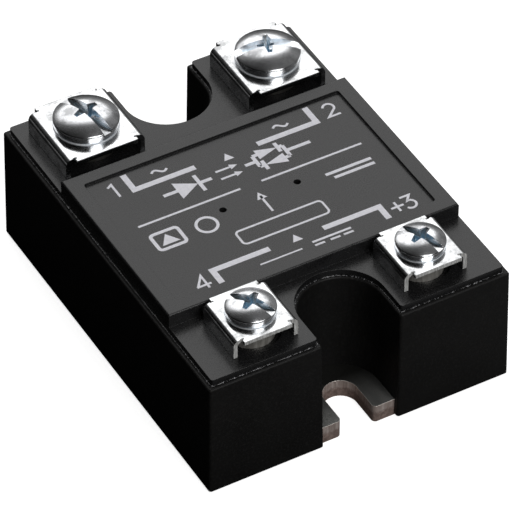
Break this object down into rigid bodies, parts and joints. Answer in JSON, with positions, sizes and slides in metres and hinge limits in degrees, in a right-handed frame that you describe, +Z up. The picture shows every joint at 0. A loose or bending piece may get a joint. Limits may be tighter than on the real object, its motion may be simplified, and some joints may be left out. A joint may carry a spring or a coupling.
{
  "type": "solid state relay",
  "caption": "Panel-mount solid state relay: black moulded case on a metal base plate, notched at both ends, with screw terminals under saddle clamps.",
  "frame": {"origin": "centre of the base plate's underside", "axes": "+Z up out of the heat sink, -Y towards the input terminals, +Y towards the output terminals, +X to the right when seen from the input end"},
  "size_m": [0.0454, 0.0582, 0.0252],
  "materials": {
    "housing_plastic": "fine moulded texture",
    "cover_plastic": "fine moulded texture",
    "sealant": "glossy cured sealant",
    "base_metal": "rolled faces, sheared edges",
    "post_brass": "nickel plated",
    "zinc_clamp": "bright zinc plated steel",
    "zinc_screw": "bright zinc plated steel, blue passivate",
    "solder": "dull",
    "substrate_ceramic": "fired matt",
    "copper": "rolled copper",
    "tinned_copper": "tinned",
    "silicon": "polished wafer",
    "board_laminate": "solder mask over glass laminate",
    "component_white": "moulded",
    "component_black": "moulded",
    "capacitor_shell": "moulded box",
    "resistor_body": "lacquered",
    "potting_resin": "cast epoxy"
  },
  "bodies": {
    "housing": {"base_plate": "base_metal", "case": "housing_plastic", "cover": "cover_plastic", "cover_seal": "sealant", "output_post_left": "post_brass", "output_post_right": "post_brass", "input_post_left": "post_brass", "input_post_right": "post_brass", "solder_layer": "solder", "ceramic_substrate": "substrate_ceramic", "circuit_board": "board_laminate", "gate_pins": "post_brass", "optocoupler": "component_white", "snubber_capacitor": "capacitor_shell", "snubber_resistor": "resistor_body", "chip_resistors": "component_black", "protection_diode": "component_black", "input_transistor": "component_black", "potting_compound": "potting_resin", "copper_pad_left": "copper", "thyristor_die_left": "silicon", "cathode_clip_left": "copper", "output_busbar_left": "tinned_copper", "input_lead_left": "tinned_copper", "copper_pad_right": "copper", "thyristor_die_right": "silicon", "cathode_clip_right": "copper", "output_busbar_right": "tinned_copper", "input_lead_right": "tinned_copper"},
    "output_clamp_left_body": {"output_clamp_left": "zinc_clamp"},
    "output_screw_left_body": {"output_screw_left": "zinc_screw"},
    "output_clamp_right_body": {"output_clamp_right": "zinc_clamp"},
    "output_screw_right_body": {"output_screw_right": "zinc_screw"},
    "input_clamp_left_body": {"input_clamp_left": "zinc_clamp"},
    "input_screw_left_body": {"input_screw_left": "zinc_screw"},
    "input_clamp_right_body": {"input_clamp_right": "zinc_clamp"},
    "input_screw_right_body": {"input_screw_right": "zinc_screw"}
  },
  "joints": [
    {"name": "output_clamp_left_lift", "type": "slide", "parent": "housing", "child": "output_clamp_left_body", "axis": [0, 0, 1], "range_m": [0, 0.0042]},
    {"name": "output_screw_left_turn", "type": "hinge", "parent": "output_clamp_left_body", "child": "output_screw_left_body", "pos_m": [-0.014, 0.0205, 0.0223], "axis": [0, 0, 1], "range_deg": [0, 1906]},
    {"name": "output_clamp_right_lift", "type": "slide", "parent": "housing", "child": "output_clamp_right_body", "axis": [0, 0, 1], "range_m": [0, 0.0042]},
    {"name": "output_screw_right_turn", "type": "hinge", "parent": "output_clamp_right_body", "child": "output_screw_right_body", "pos_m": [0.014, 0.0205, 0.0223], "axis": [0, 0, 1], "range_deg": [0, 1906]},
    {"name": "input_clamp_left_lift", "type": "slide", "parent": "housing", "child": "input_clamp_left_body", "axis": [0, 0, 1], "range_m": [0, 0.0034]},
    {"name": "input_screw_left_turn", "type": "hinge", "parent": "input_clamp_left_body", "child": "input_screw_left_body", "pos_m": [-0.0127, -0.0221, 0.0223], "axis": [0, 0, 1], "range_deg": [0, 1543]},
    {"name": "input_clamp_right_lift", "type": "slide", "parent": "housing", "child": "input_clamp_right_body", "axis": [0, 0, 1], "range_m": [0, 0.0034]},
    {"name": "input_screw_right_turn", "type": "hinge", "parent": "input_clamp_right_body", "child": "input_screw_right_body", "pos_m": [0.0127, -0.0221, 0.0223], "axis": [0, 0, 1], "range_deg": [0, 1543]}
  ],
  "couplings": [
    {"joint": "output_screw_left_turn", "follows": "output_clamp_left_lift", "rad_per_m": 7915.8},
    {"joint": "output_screw_right_turn", "follows": "output_clamp_right_lift", "rad_per_m": 7915.8},
    {"joint": "input_screw_left_turn", "follows": "input_clamp_left_lift", "rad_per_m": 7915.8},
    {"joint": "input_screw_right_turn", "follows": "input_clamp_right_lift", "rad_per_m": 7915.8}
  ]
}
